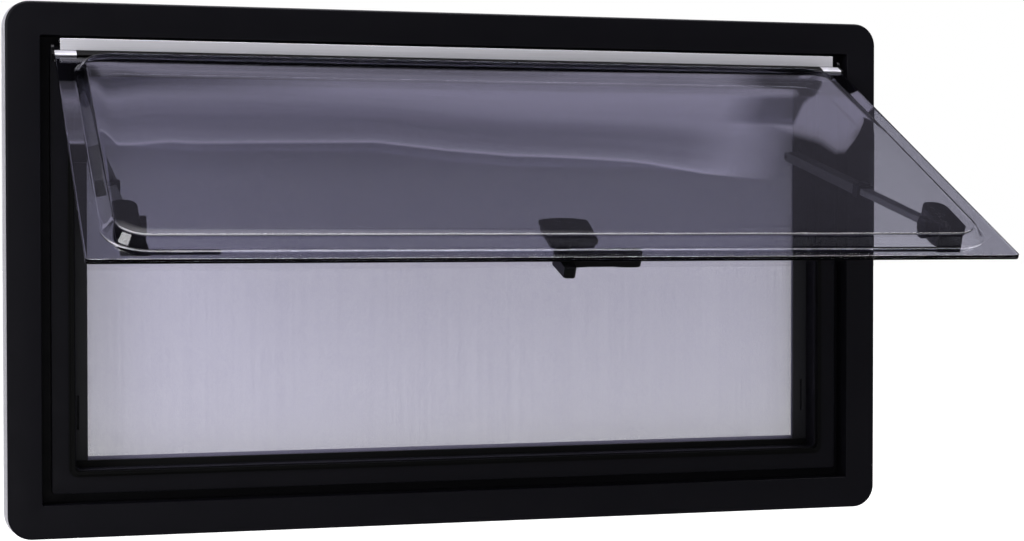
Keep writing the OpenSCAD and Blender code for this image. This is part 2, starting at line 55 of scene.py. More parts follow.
# The catch turns about the sash's normal, so its axis gives the sash's slope
sashOut = Vector(frame["joints"][0]["axis"]).normalized()
sashIn = -sashOut
sashDown = Vector((0, sashOut.z, -sashOut.y))
if sashDown.z > 0:
    sashDown = -sashDown


def reach(node, axis):  # least and greatest of a node's points along an axis, in metres
    along = [v.co.dot(axis) for v in nodes[node].data.vertices]
    return min(along), max(along)


paneTopEdge, paneFootEdge = reach("domed_pane", sashDown)
paneInner = reach("flat_pane", sashIn)[1]
sheetJoin = reach("flat_pane", sashIn)[0]
domeCrown = reach("domed_pane", sashIn)[0]
paneHalf = (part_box("domed_pane")[1].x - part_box("domed_pane")[0].x) / 2 / millimetre
paneLength = (paneFootEdge - paneTopEdge) / millimetre


def onWindow(x, y, z):
    return windowMiddle + Vector((x, y, z)) * millimetre


def onSash(x, down, inward):  # across, down from the pane's top edge, in from where the sheets join
    return (Vector((x * millimetre, 0, 0)) + sashDown * (paneTopEdge + down * millimetre)
            + sashIn * (sheetJoin + inward * millimetre))


# Materials


def newMaterial(name, colour, **inputs):
    material = bpy.data.materials.new(name)
    material.use_nodes = True
    shader = material.node_tree.nodes["Principled BSDF"]
    shader.inputs["Base Color"].default_value = (*colour, 1)
    for key, value in inputs.items():
        shader.inputs[key].default_value = value
    return material, material.node_tree, shader


def addNode(tree, kind, **settings):
    node = tree.nodes.new(kind)
    for key, value in settings.items():
        setattr(node, key, value)
    return node


def feed(tree, socket, value):  # gives a socket a number, a colour or another node's output
    if isinstance(value, bpy.types.NodeSocket):
        tree.links.new(value, socket)
    elif isinstance(value, tuple):
        socket.default_value = (*value, 1)
    else:
        socket.default_value = value


def objectPoint(tree, scale=(1, 1, 1)):  # coordinates in metres, stretched per axis
    where = addNode(tree, "ShaderNodeTexCoord")
    mapping = addNode(tree, "ShaderNodeMapping")
    mapping.inputs["Scale"].default_value = scale
    tree.links.new(where.outputs["Object"], mapping.inputs["Vector"])
    return mapping.outputs["Vector"]


def noiseOf(tree, vector, scale, detail, rough=0.5):
    noise = addNode(tree, "ShaderNodeTexNoise")
    noise.inputs["Scale"].default_value = scale
    noise.inputs["Detail"].default_value = detail
    noise.inputs["Roughness"].default_value = rough
    tree.links.new(vector, noise.inputs["Vector"])
    return noise.outputs["Fac"]


def rampOf(tree, value, low, high, fromLow=0.3, fromHigh=0.7):  # maps a value onto a range
    spread = addNode(tree, "ShaderNodeMapRange")
    spread.inputs["From Min"].default_value = fromLow
    spread.inputs["From Max"].default_value = fromHigh
    spread.inputs["To Min"].default_value = low
    spread.inputs["To Max"].default_value = high
    tree.links.new(value, spread.inputs["Value"])
    return spread.outputs["Result"]


def mixColours(tree, factor, first, second):
    mix = addNode(tree, "ShaderNodeMix", data_type="RGBA")
    feed(tree, mix.inputs["A"], first)
    feed(tree, mix.inputs["B"], second)
    tree.links.new(factor, mix.inputs["Factor"])
    return mix.outputs["Result"]


def maths(tree, operation, first, second=0.0):
    node = addNode(tree, "ShaderNodeMath", operation=operation)
    feed(tree, node.inputs[0], first)
    feed(tree, node.inputs[1], second)
    return node.outputs["Value"]


def addBump(tree, shader, height, strength, distance):
    bump = addNode(tree, "ShaderNodeBump")
    bump.inputs["Strength"].default_value = strength
    bump.inputs["Distance"].default_value = distance
    tree.links.new(height, bump.inputs["Height"])
    tree.links.new(bump.outputs["Normal"], shader.inputs["Normal"])


plastics = {
    "cloud": 14, "cloudDetail": 4, "wear": 60, "wearDetail": 3, "smoother": 0.05, "rougher": 0.06,
    "grain": 1900, "grainDetail": 2, "grainDepth": 0.00004,
}


def plasticMaterial(name, dark, light, rough, grain=0.35, level=0.3):
    p = plastics
    material, tree, shader = newMaterial(name, dark)
    shader.inputs["Specular IOR Level"].default_value = level
    point = objectPoint(tree)
    cloud = noiseOf(tree, point, p["cloud"], p["cloudDetail"])
    wear = noiseOf(tree, point, p["wear"], p["wearDetail"])
    roughness = rampOf(tree, wear, rough - p["smoother"], rough + p["rougher"])
    tree.links.new(mixColours(tree, cloud, dark, light), shader.inputs["Base Color"])
    tree.links.new(roughness, shader.inputs["Roughness"])
    addBump(tree, shader, noiseOf(tree, point, p["grain"], p["grainDetail"]), grain, p["grainDepth"])
    return material


brushing = {
    "stretch": (5, 1400, 1400), "detail": 4, "rough": 0.6, "lighter": 1.1, "darker": 0.88,
    "smoother": 0.08, "rougher": 0.1, "strength": 0.2, "depth": 0.00005,
}


def aluminiumMaterial(name, colour, rough, metal):
    b = brushing
    material, tree, shader = newMaterial(name, colour, Metallic=metal)
    streaks = noiseOf(tree, objectPoint(tree, b["stretch"]), 1.0, b["detail"], b["rough"])
    lighter = tuple(min(1, c * b["lighter"]) for c in colour)
    darker = tuple(c * b["darker"] for c in colour)
    roughness = rampOf(tree, streaks, rough - b["smoother"], rough + b["rougher"])
    tree.links.new(mixColours(tree, streaks, darker, lighter), shader.inputs["Base Color"])
    tree.links.new(roughness, shader.inputs["Roughness"])
    addBump(tree, shader, streaks, b["strength"], b["depth"])
    return material


def acrylicMaterial(name, tint, depth, density):
    material, tree, shader = newMaterial(name, tint, Roughness=0.0, IOR=1.49)
    shader.inputs["Transmission Weight"].default_value = 1.0
    absorb = addNode(tree, "ShaderNodeVolumeAbsorption")
    absorb.inputs["Color"].default_value = (*depth, 1)
    absorb.inputs["Density"].default_value = density
    tree.links.new(absorb.outputs["Volume"], tree.nodes["Material Output"].inputs["Volume"])
    return material


finishes = {
    "framePlastic": plasticMaterial("frame_plastic", (0.0044, 0.0042, 0.0062), (0.0058, 0.0055, 0.0080),
                                    rough=0.40, level=0.10),
    "fittingPlastic": plasticMaterial("fitting_plastic", (0.0030, 0.0030, 0.0034), (0.0042, 0.0042, 0.0048),
                                      rough=0.34, level=0.22),
    "liningPlastic": plasticMaterial("lining_plastic", (0.0050, 0.0050, 0.0058), (0.0070, 0.0070, 0.0080),
                                     rough=0.5, level=0.16),
    # Black rubber for the gasket, also used as painted shade on the middle of the hinge profile
    "rubberAndPaintedShade": plasticMaterial("seal_rubber", (0.0020, 0.0020, 0.0022), (0.0032, 0.0032, 0.0034),
                                  rough=0.62, grain=0.6, level=0.1),
    "stayPaint": plasticMaterial("stay_paint", (0.12, 0.12, 0.125), (0.16, 0.16, 0.165), rough=0.4),
    "rodPaint": plasticMaterial("stay_rod_paint", (0.30, 0.30, 0.32), (0.36, 0.36, 0.38),
                                rough=0.42, grain=0.3, level=0.4),
    "railPlastic": plasticMaterial("rail_plastic", (0.016, 0.016, 0.019), (0.020, 0.020, 0.024),
                                   rough=0.45, level=0.2),
    "blindCloth": plasticMaterial("blind_cloth", (0.50, 0.49, 0.46), (0.56, 0.55, 0.52),
                                  rough=0.8, grain=0.5, level=0.2),
    "bareAluminium": aluminiumMaterial("bare_aluminium", (0.78, 0.77, 0.83), rough=0.42, metal=0.5),
    "sheetTint": acrylicMaterial("acrylic_sheet", (0.93, 0.925, 0.96), depth=(0.02, 0.02, 0.16), density=178),
}

# The flyscreen's weave: widths are shares of the pitch, and heights are in metres. The threads widen in a
# band under the sash, a painted shadow of the sash on the screen
weave = {
    "colour": (0.28, 0.265, 0.40), "rough": 0.7, "level": 0.2, "pitch": 0.0007, "thread": 0.252,
    "sashShadowWiden": 0.036, "sashShadowFoot": (0.06, 0.22), "sashShadowTop": (0.26, 0.30), "detail": 1, "soft": 0.4,
    "ribs": {"axis": "X", "stretch": (300, 1, 3), "uneven": 0.014},
    "rows": {"axis": "Z", "stretch": (4, 1, 420), "uneven": 0.005},
}


def screenMaterial():
    pitch = weave["pitch"]
    material, tree, shader = newMaterial("screen_mesh", weave["colour"], Roughness=weave["rough"])
    shader.inputs["Specular IOR Level"].default_value = weave["level"]
    split = addNode(tree, "ShaderNodeSeparateXYZ")
    tree.links.new(objectPoint(tree), split.inputs["Vector"])

    # Painted shadow of the sash: just under it the weave is drawn a little closer, so the screen is darker
    # there
    up = rampOf(tree, split.outputs["Z"], 0, 1, *weave["sashShadowFoot"])
    down = rampOf(tree, split.outputs["Z"], 1, 0, *weave["sashShadowTop"])
    sashShadowWiden = rampOf(tree, maths(tree, "MULTIPLY", up, down), 0, pitch * weave["sashShadowWiden"], 0, 1)

    def threads(axis, stretch, uneven):  # 1 on a thread, 0 between threads
        drift = noiseOf(tree, objectPoint(tree, stretch), 1.0, weave["detail"], weave["soft"])
        width = rampOf(tree, drift, pitch * (weave["thread"] - uneven), pitch * (weave["thread"] + uneven))
        saw = maths(tree, "PINGPONG", split.outputs[axis], pitch / 2)
        return maths(tree, "LESS_THAN", saw, maths(tree, "ADD", width, sashShadowWiden))

    cover = maths(tree, "MAXIMUM", threads(**weave["ribs"]), threads(**weave["rows"]))
    tree.links.new(cover, shader.inputs["Alpha"])
    return material


finishes["screenMesh"] = screenMaterial()

finishOf = {
    "outer_frame": "framePlastic", "frame_gasket": "rubberAndPaintedShade", "hinge_rail": "bareAluminium",
    "sash_hinge_profile": "bareAluminium",
    "hinge_cap_left": "fittingPlastic", "hinge_cap_right": "fittingPlastic",
    "flat_pane": "sheetTint", "domed_pane": "sheetTint", "catch_base": "fittingPlastic",
    "catch_button": "fittingPlastic", "catch_lever": "fittingPlastic", "clamp_ring": "bareAluminium",
    "top_box": "liningPlastic", "bottom_box": "liningPlastic", "side_rail_left": "railPlastic",
    "side_rail_right": "railPlastic", "screen_roller": "screenMesh", "flyscreen": "screenMesh",
    "screen_bar": "liningPlastic", "blind_roller": "blindCloth", "blind_bar": "liningPlastic",
}
for side in ("left", "right"):
    finishOf.update({"stay_anchor_" + side: "fittingPlastic", "stay_channel_" + side: "stayPaint",
                     "stay_rod_" + side: "rodPaint", "stay_collar_" + side: "fittingPlastic",
                     "stay_bracket_" + side: "fittingPlastic", "stay_knob_" + side: "fittingPlastic"})
for name, finish in finishOf.items():
    nodes[name].data.materials.clear()
    nodes[name].data.materials.append(finishes[finish])
print("materials made")


# Mesh helpers

filletShare = 0.49  # the most that a fillet takes of a side


def meshObject(name, points, faces, material, sharp=35):
    data = bpy.data.meshes.new(name)
    data.from_pydata([tuple(p) for p in points], [], faces)
    data.materials.append(material)
    made = bpy.data.objects.new(name, data)
    bpy.context.scene.collection.objects.link(made)
    work = bmesh.new()
    work.from_mesh(data)
    bmesh.ops.remove_doubles(work, verts=work.verts, dist=1e-7)
    bmesh.ops.recalc_face_normals(work, faces=work.faces)
    for face in work.faces:
        face.smooth = True
    for edge in work.edges:
        if len(edge.link_faces) == 2 and edge.calc_face_angle(0) > math.radians(sharp):
            edge.smooth = False
    work.to_mesh(data)
    work.free()
    return made


def roundRectangle(width, height, radius, steps):
    corners = ((1, 1, 0), (-1, 1, 90), (-1, -1, 180), (1, -1, 270))
    outline = []
    for sx, sz, start in corners:
        for i in range(steps + 1):
            angle = math.radians(start + 90 * i / steps)
            outline.append((sx * (width / 2 - radius) + radius * math.cos(angle),
                            sz * (height / 2 - radius) + radius * math.sin(angle)))
    return outline


def filleted(corners, steps):  # a closed section whose corners (u, y, fillet, cornerRadius) are rounded
    section = []
    count = len(corners)
    for i, (u, y, fillet, ring) in enumerate(corners):
        here = Vector((u, y))
        before = Vector(corners[i - 1][:2]) - here
        after = Vector(corners[(i + 1) % count][:2]) - here
        if fillet <= 0:
            section.append((u, y, ring))
            continue
        half = before.angle(after) / 2
        cut = min(fillet / math.tan(half), before.length * filletShare, after.length * filletShare)
        radius = cut * math.tan(half)
        centre = here + (before.normalized() + after.normalized()).normalized() * (radius / math.sin(half))
        first = here + before.normalized() * cut - centre
        turn = first.angle_signed(here + after.normalized() * cut - centre)
        for k in range(steps + 1):
            spot = centre + Matrix.Rotation(-turn * k / steps, 2) @ first
            section.append((spot.x, spot.y, ring - (spot.x - u)))
    return section


def roundedOutline(corners, steps):  # the same for a plain outline, its corners given as (u, v, fillet)
    return [spot[:2] for spot in filleted([(*corner, 0) for corner in corners], steps)]


def sideFaces(loops, size, closed=False):  # between loops of equal length, and back to the first if closed
    faces = []
    for i in range(loops if closed else loops - 1):
        j = (i + 1) % loops
        for k in range(size):
            n = (k + 1) % size
            faces.append((i * size + k, i * size + n, j * size + n, j * size + k))
    return faces


def endFaces(loops, size):  # one face over the first loop and one over the last
    return [tuple(range(size))[::-1], tuple((loops - 1) * size + k for k in range(size))]


def gridFaces(rows, columns, first=0):  # between the points of a grid, given row by row
    corners = [first + j * columns + i for j in range(rows - 1) for i in range(columns - 1)]
    return [(k, k + 1, k + columns + 1, k + columns) for k in corners]


def ringMesh(name, section, width, height, place, material, steps):
    # section: (inward, depth, corner radius); place turns (x, z, depth) into a point
    points = []
    for inward, depth, radius in section:
        loop = roundRectangle(width - 2 * inward, height - 2 * inward, radius, steps)
        points += [place(x, z, depth) for x, z in loop]
    return meshObject(name, points, sideFaces(len(section), len(loop), closed=True), material)


# The sash's two sheets of acrylic: a flat one, and one drawn up into a low dome over it

domeThick = 2.4
domeOuter = sheetJoin - domeThick * millimetre
domeRise = (sheetJoin - domeCrown) / millimetre - domeThick
sheets = {
    "margin": 15.5, "foot": 13, "top": 12, "radius": 40, "lean": 13, "corner": 4, "join": 0.1,
    "wallSteps": 20, "crownSteps": 12, "cornerSteps": 12, "along": 90, "down": 40,
    "edgeRound": 0.45, "edgeBand": 1.5, "shoulder": 12, "shoulderDrop": 0.40, "calm": 60, "footBand": 0.35,
}
swell = {
    "height": 0.35, "fromAcross": 420, "across": 175, "fromDown": 60, "down": 120,
    "ripple": 0.5, "rippleAcross": 95, "rippleSlant": 160, "rippleDown": 140,
}


def paneLoop(side, top, foot, radius):  # (across, down) points round a rectangle with round corners
    steps = sheets["cornerSteps"]
    centres = ((side - radius, top + radius, -90), (side - radius, foot - radius, 0),
               (radius - side, foot - radius, 90), (radius - side, top + radius, 180))
    spans = (sheets["down"], sheets["along"], sheets["down"], sheets["along"])
    points = []
    for i, (x, down, start) in enumerate(centres):
        for k in range(steps + 1):
            angle = math.radians(start + 90 * k / steps)
            points.append((x + radius * math.cos(angle), down + radius * math.sin(angle)))
        nextX, nextDown, nextStart = centres[(i + 1) % 4]
        angle = math.radians(nextStart)
        end = Vector((nextX + radius * math.cos(angle), nextDown + radius * math.sin(angle)))
        begin = Vector(points[-1])
        points += [tuple(begin.lerp(end, k / spans[i])) for k in range(1, spans[i])]
    return points


def smoothStep(value):
    value = min(max(value, 0), 1)
    return value * value * (3 - 2 * value)


def crownWave(x, down):  # the slight unevenness of a drawn sheet
    s = swell
    broad = math.sin((x + s["fromAcross"]) / s["across"]) * math.cos((down - s["fromDown"]) / s["down"])
    fine = math.sin(x / s["rippleAcross"] + down / s["rippleSlant"]) * math.sin(down / s["rippleDown"])
    return s["height"] * (broad + s["ripple"] * fine)


def domePoint(x, down, inset, depth):  # on the drawn sheet, a set depth under its outer face
    lean = sheets["lean"]
    part = min(max(inset / lean, 0), 1)
    lift = (1 - math.cos(math.pi * part)) / 2 * domeRise
    fade = smoothStep((inset - lean) / sheets["calm"])
    if inset >= lean:
        lift -= sheets["shoulderDrop"] * max(0, 1 - (inset - lean) / sheets["shoulder"]) ** 2
    else:
        lift -= sheets["shoulderDrop"] * part * part
    return onSash(x, down, depth - domeThick - lift - fade * crownWave(x, down))


def domeSlope(inset):
    part = min(max(inset / sheets["lean"], 0), 1)
    return math.atan(domeRise * math.pi / 2 * math.sin(math.pi * part) / sheets["lean"])


def edgeLoops(near, far):  # the polished edge of a sheet, from one face's depth to the other's
    e, band = sheets["edgeRound"], sheets["edgeBand"]
    turns = [math.radians(degrees) for degrees in (0, 30, 60, 90)]
    spots = [(band, near)]
    spots += [(e - e * math.sin(turn), near + (e - e * math.cos(turn))) for turn in turns]
    spots += [(e - e * math.cos(turn), far - (e - e * math.sin(turn))) for turn in turns]
    spots.append((band, far))
    loops = []
    for inset, depth in spots:
        outline = paneLoop(paneHalf - inset, inset, paneLength - inset, sheets["corner"] - inset)
        loops.append([onSash(x, down, depth) for x, down in outline])
    return loops


def skin(name, loops, grids, material):  # joins loops of equal length, and closes their ends with grids
    points = [p for loop in loops for p in loop]
    faces = sideFaces(len(loops), len(loops[0]))
    for grid in grids:
        faces += gridFaces(len(grid), len(grid[0]), len(points))
        points += [p for row in grid for p in row]
    return meshObject(name, points, faces, material, sharp=40)


def domeFace(depth):  # at one depth in the sheet: loops from foot to crown, and the crown's grid
    side = paneHalf - sheets["margin"]
    top, foot = sheets["top"], paneLength - sheets["foot"]
    insets = [sheets["lean"] * i / sheets["wallSteps"] for i in range(sheets["wallSteps"] + 1)]
    rest = sheets["radius"] - sheets["lean"]
    insets += [sheets["lean"] + rest * (i + 1) / sheets["crownSteps"] for i in range(sheets["crownSteps"])]
    loops = []
    for inset in insets:
        slope = domeSlope(inset)
        shift = inset + depth * math.sin(slope)
        radius = max(sheets["radius"] - shift, 0)
        outline = paneLoop(side - shift, top + shift, foot - shift, radius)
        loops.append([domePoint(x, down, inset, depth * math.cos(slope)) for x, down in outline])
    band = sheets["footBand"]
    flat = paneLoop(side + band, top - band, foot + band, sheets["radius"] + band)
    loops.insert(0, [onSash(x, down, depth - domeThick) for x, down in flat])
    inner = side - sheets["radius"]
    innerTop, innerFoot = top + sheets["radius"], foot - sheets["radius"]

    def insetAt(x, down):
        return min(side - abs(x), down - top, foot - down)

    along, tall = sheets["along"], sheets["down"]
    grid = [[(-inner + 2 * inner * i / along, innerTop + (innerFoot - innerTop) * j / tall)
             for i in range(along + 1)] for j in range(tall + 1)]
    return loops, [[domePoint(x, down, insetAt(x, down), depth) for x, down in row] for row in grid]


def makeSheets():
    outerLoops, outerGrid = domeFace(0)
    underLoops, underGrid = domeFace(domeThick - sheets["join"])
    loops = outerLoops[::-1] + edgeLoops(-domeThick, -sheets["join"]) + underLoops
    dome = skin("domedSheet", loops, [outerGrid, underGrid], finishes["sheetTint"])
    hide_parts("domed_pane")
    flatThick = (paneInner - sheetJoin) / millimetre
    loops = edgeLoops(0, flatThick)
    points = [p for loop in loops for p in loop]
    count, size = len(loops), len(loops[0])
    faces = sideFaces(count, size) + endFaces(count, size)
    flat = meshObject("flatSheet", points, faces, finishes["sheetTint"], sharp=40)
    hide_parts("flat_pane")
    for piece in (dome, flat):
        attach(piece, "window")


makeSheets()
print("sheets made")


# The moulded frame, its section given inward from the flange's edge and back from its front

moulding = {
    "flange": 34, "flangeThick": 6, "spigot": 23, "channel": 44, "channelDepth": 26, "seat": 68,
    "seatDepth": 10, "back": 34, "corner": 24, "spigotCorner": 20, "flangeCorner": 2, "channelCorner": 3,
    "seatCorner": 6, "edge": 4, "soft": 1.0, "crisp": 0.4, "filletSteps": 5, "cornerSteps": 10,
}


def makeFrame():
    m = moulding
    soft, crisp = m["soft"], m["crisp"]
    corners = [(0, m["flangeThick"], crisp, m["corner"]), (0, 0, m["edge"], m["corner"]),
               (m["flange"], 0, soft, m["flangeCorner"]),
               (m["flange"], m["channelDepth"], 0, m["flangeCorner"]),
               (m["channel"], m["channelDepth"], 0, m["channelCorner"]),
               (m["channel"], m["seatDepth"], soft, m["channelCorner"]),
               (m["seat"], m["seatDepth"], soft, m["seatCorner"]),
               (m["seat"], m["back"], crisp, m["seatCorner"]),
               (m["spigot"], m["back"], soft, m["spigotCorner"]),
               (m["spigot"], m["flangeThick"], 0, m["spigotCorner"])]
    section = filleted(corners, m["filletSteps"])
    frameMesh = ringMesh("mouldedFrame", section, frameWidth, frameHeight,
                         lambda x, z, depth: onWindow(x, depth, z),
                         finishes["framePlastic"], m["cornerSteps"])
    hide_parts("outer_frame")
    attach(frameMesh, "window")


# The drawn flyscreen, stretched between its rails

screenCloth = {"columns": 96, "rows": 50, "slack": 0.3, "ripple": (7, 3)}


def makeScreen():
    low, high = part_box("flyscreen")
    wide, tall = high.x - low.x, high.z - low.z
    columns, rows = screenCloth["columns"], screenCloth["rows"]
    a, b = screenCloth["ripple"]
    points = []
    for j in range(rows + 1):
        for i in range(columns + 1):
            u, v = i / columns, j / rows
            hang = screenCloth["slack"] * math.sin(math.pi * u) * math.sin(a * u + b * v)
            hang *= math.sin(math.pi * v)
            points.append((low.x + wide * u, (low.y + high.y) / 2 + hang * millimetre, low.z + tall * v))
    cloth = meshObject("flyscreenCloth", points, gridFaces(rows + 1, columns + 1), finishes["screenMesh"])
    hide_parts("flyscreen")
    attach(cloth, "window")


makeFrame()
makeScreen()
print("frame and flyscreen made")


# Hinge rail and the profile on the sash's top edge: sections (y, z) run along the window

hinge = {
    "railHalf": 419.5, "railTop": 232.8, "railFoot": 221.0, "railFront": -4.6, "railBack": 26,
    "railThick": 1.6, "chamfer": 0.3, "chamferIn": 0.25, "profileHalf": 425.5, "bareEnd": 404, "grip": 9.5,
    "gripThick": 1.6, "gap": 0.15, "crown": (3, -4.5), "crownFront": -1.5, "crownBack": -3,
}


def extruded(name, section, stops, place, material):  # stops: (x, inset of the section)
    points = []
    middle = Vector((sum(u for u, v in section), sum(v for u, v in section))) / len(section)
    for x, inset in stops:
        for corner in section:
            away = Vector(corner) - middle
            u, v = middle + away * (1 - inset / max(away.length, 1))
            points.append(place(x, u, v))
    count, size = len(stops), len(section)
    faces = sideFaces(count, size) + [face[::-1] for face in endFaces(count, size)]
    return meshObject(name, points, faces, material)


def makeRail():
    h = hinge
    front, back, top, foot, t = h["railFront"], h["railBack"], h["railTop"], h["railFoot"], h["railThick"]
    section = roundedOutline([(front, top, 0.5), (back, top, 0.3), (back, top - t, 0.3),
                              (front + t, top - t, 0.4), (front + t, foot, 0.4), (front, foot, 0.5)], 3)
    half, chamfer, into = h["railHalf"], h["chamfer"], h["chamferIn"]
    stops = [(-half, into), (-half + chamfer, 0), (half - chamfer, 0), (half, into)]
    rail = extruded("hingeRail", section, stops, onWindow, finishes["bareAluminium"])
    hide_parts("hinge_rail")
    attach(rail, "window")


def makeProfile():
    h = hinge
    g, gap, grip = h["gripThick"], h["gap"], h["grip"]
    thick = (paneInner - domeOuter) / millimetre
    # A U over the pane's top edge, with a rounded crown above it
    section = roundedOutline([(-g - gap, h["crownFront"], 0.9), (-g - gap, grip, 0.6), (-gap, grip, 0.4),
                              (-gap, -gap, 0), (thick + gap, -gap, 0), (thick + gap, grip, 0.4),
                              (thick + gap + g, grip, 0.6), (thick + gap + g, h["crownBack"], 0.8),
                              (*h["crown"], 0.8)], 3)
    half, bare = h["profileHalf"], h["bareEnd"]
    profile = extruded("hingeProfile", section, [(-half, 0), (-bare, 0), (bare, 0), (half, 0)],
                       lambda x, u, v: onSash(x, v, u - domeThick), finishes["bareAluminium"])
    # Black in the middle, bare at the ends: the black middle is painted shade, standing in for the shade and
    # dark reflection on the bare aluminium there
    profile.data.materials.append(finishes["rubberAndPaintedShade"])
    for face in profile.data.polygons:
        face.material_index = 0 if abs(face.center.x) > bare * millimetre else 1
    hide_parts("sash_hinge_profile")
    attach(profile, "window")


makeRail()
makeProfile()
print("hinge made")


# Brackets that carry the stays on the sash: across, down from the hinge's pivot, in from the outer face

fittings = {
    "right": {"x": (374.2, 400), "bar": (285, 371),
              "web": ((374.5, 388), (400, 388), (371, 440), (346, 440))},
    "left": {"x": (-397, -374.2), "bar": (-396, -312),
             "web": ((-397, 388), (-374.2, 388), (-371, 440), (-396, 440))},
    # Each level of the housing: how far in, its top, its foot, and how far its sides draw in
    "levels": ((4.4, 339, 393, 0), (16, 340, 392, 0), (21, 343, 390, 0.6), (26, 350, 387, 1.2),
               (30, 357, 384, 2.4), (32, 361, 381, 4.5)),
    "rounding": 0.46, "footRound": 2.5, "roundSteps": 8, "webRound": 1.5, "barRound": 2.9, "plateSteps": 4,
    "seat": 4.4, "plate": 3, "plateEdge": 0.6, "plateEdgeIn": 0.5, "barDown": 435, "barWide": 6.5,
    "pivotToFoot": 454.5,
}
fromPivot = fittings["pivotToFoot"] - paneLength


def fittingSpot(x, down, inward):
    return onSash(x, down - fromPivot, inward - domeThick)


def stacked(levels):  # outlines (across, down) of equal length, each at its distance in
    points = [fittingSpot(x, down, inward) for inward, outline in levels for x, down in outline]
    count, size = len(levels), len(levels[0][1])
    return points, sideFaces(count, size) + endFaces(count, size)


def plateOf(corners, fillet):
    middleX = sum(x for x, down in corners) / len(corners)
    middleDown = sum(down for x, down in corners) / len(corners)

    def drawnIn(value, middle, inset):
        return value - math.copysign(inset, value - middle)

    def outline(inset):
        shrunk = [(drawnIn(x, middleX, inset), drawnIn(down, middleDown, inset), fillet)
                  for x, down in corners]
        return roundedOutline(shrunk, fittings["plateSteps"])

    low, high = fittings["seat"], fittings["seat"] + fittings["plate"]
    return stacked([(low, outline(0)), (high - fittings["plateEdge"], outline(0)),
                    (high, outline(fittings["plateEdgeIn"]))])


def makeBracket(side):
    spec = fittings[side]
    left, right = spec["x"]
    levels = []
    for inward, top, foot, inset in fittings["levels"]:
        a, b = left + inset, right - inset
        head, heel = (b - a) * fittings["rounding"], fittings["footRound"]
        corners = [(a, top, head), (b, top, head), (b, foot, heel), (a, foot, heel)]
        levels.append((inward, roundedOutline(corners, fittings["roundSteps"])))
    wide = fittings["barWide"] / 2
    barLeft, barRight = spec["bar"]
    down = fittings["barDown"]
    bar = ((barLeft, down - wide), (barRight, down - wide), (barRight, down + wide), (barLeft, down + wide))
    points, faces = [], []
    for partPoints, partFaces in (stacked(levels), plateOf(spec["web"], fittings["webRound"]),
                                  plateOf(bar, fittings["barRound"])):
        faces += [tuple(len(points) + k for k in face) for face in partFaces]
        points += partPoints
    bracket = meshObject("stayBracket" + side.capitalize(), points, faces,
                         finishes["fittingPlastic"], sharp=40)
    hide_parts("stay_bracket_" + side)
    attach(bracket, "window")


for side in ("left", "right"):
    makeBracket(side)
print("brackets made")


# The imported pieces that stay, with their edges rounded

softening = {"weld": 0.000002, "angle": 42, "segments": 2, "fitting": 0.4, "stay": 0.3}


def softEdges(name, width):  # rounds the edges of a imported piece
    weld = nodes[name].modifiers.new("weld", "WELD")
    weld.merge_threshold = softening["weld"]
    bevel = nodes[name].modifiers.new("soft", "BEVEL")
    bevel.width = width * millimetre
    bevel.segments = softening["segments"]
    bevel.limit_method = "ANGLE"
    bevel.angle_limit = math.radians(softening["angle"])
    bevel.use_clamp_overlap = True


for name in ("hinge_cap_left", "hinge_cap_right", "catch_base", "catch_button",
             "catch_lever", "clamp_ring", "side_rail_left", "side_rail_right", "top_box", "bottom_box"):
    softEdges(name, softening["fitting"])
for side in ("left", "right"):
    for part in ("anchor", "channel", "rod", "collar", "knob"):
        softEdges("stay_" + part + "_" + side, softening["stay"])
print("edges softened")


# Studio: a dark room with one tall bright panel behind the sash, mirrored in its upper half. Places on
# the panel are directions seen from the window: across is x over y, and slope is z over y. The dome
# mirrors it upside down, so the panel's far edge, at the greatest slope, is its lower edge in the picture

room = {
    "dark": (0.012, 0.012, 0.014), "behind": (0.11, 0.105, 0.13), "behindFrom": (0.05, 0.45),
    "white": 1.0, "fill": 0.8, "nearest": 0.001, "shade": (0.022, 0.052), "shadeTone": 0.25,
    "beside": (0.470, 0.478), "high": 0.5,
}
panel = {
    "colour": (0.80, 0.76, 1.0), "top": 1.15, "leastTall": 0.01, "slopes": (1.0, 1.3),
    "edge": ((-0.6, 1.240), (0.13, 1.240), (0.20, 1.2475), (0.34, 1.246), (0.40, 1.257), (0.454, 1.2635),
             (0.567, 1.2635), (0.628, 1.271), (1.4, 1.270)),
    "edgeSoft": (-0.0015, 0.0015), "fade": (0.640, 0.690),
    "rightEdge": ((-0.6, 1.19), (0.66, 1.199), (0.71, 1.212), (0.735, 1.229), (0.741, 1.19), (0.78, 1.10),
                  (1.4, 1.0)),
    "rightEdgeSoft": (-0.006, 0.003),
    "tone": ((0.0, 0.86), (0.30, 0.84), (0.44, 0.70), (0.60, 0.34), (0.70, 0.26), (0.82, 0.30), (0.93, 0.42),
             (0.962, 0.60), (0.984, 1.0), (1.0, 0.95)),
    "darkest": 0.02, "rightTone": 0.84, "rightFrom": (0.60, 0.68), "start": (1.09, 1.135),
    "strips": (-0.30, -0.62), "stripTone": 1.3, "stripWidth": (0.0175, 0.035),
}
streak = {"across": 1.6, "up": 4.5, "detail": 4, "rough": 0.6, "strength": 0.09, "contrast": (0.35, 0.65)}
patch = {"across": (0.14, 0.30), "height": 0.24, "reach": (0.05, 0.20), "strength": 0.80}
block = {"left": (0.618, 0.652), "right": (0.681, 0.684), "foot": (1.166, 1.171), "top": (1.196, 1.200),
         "strength": 0.85}
zenith = {"edge": (0.806, 0.872), "edgeTone": 0.25, "middle": (0.885, 0.93), "middleTone": 0.75,
          "glow": (7.0, 6.9, 7.4), "firstBounce": 2.5}


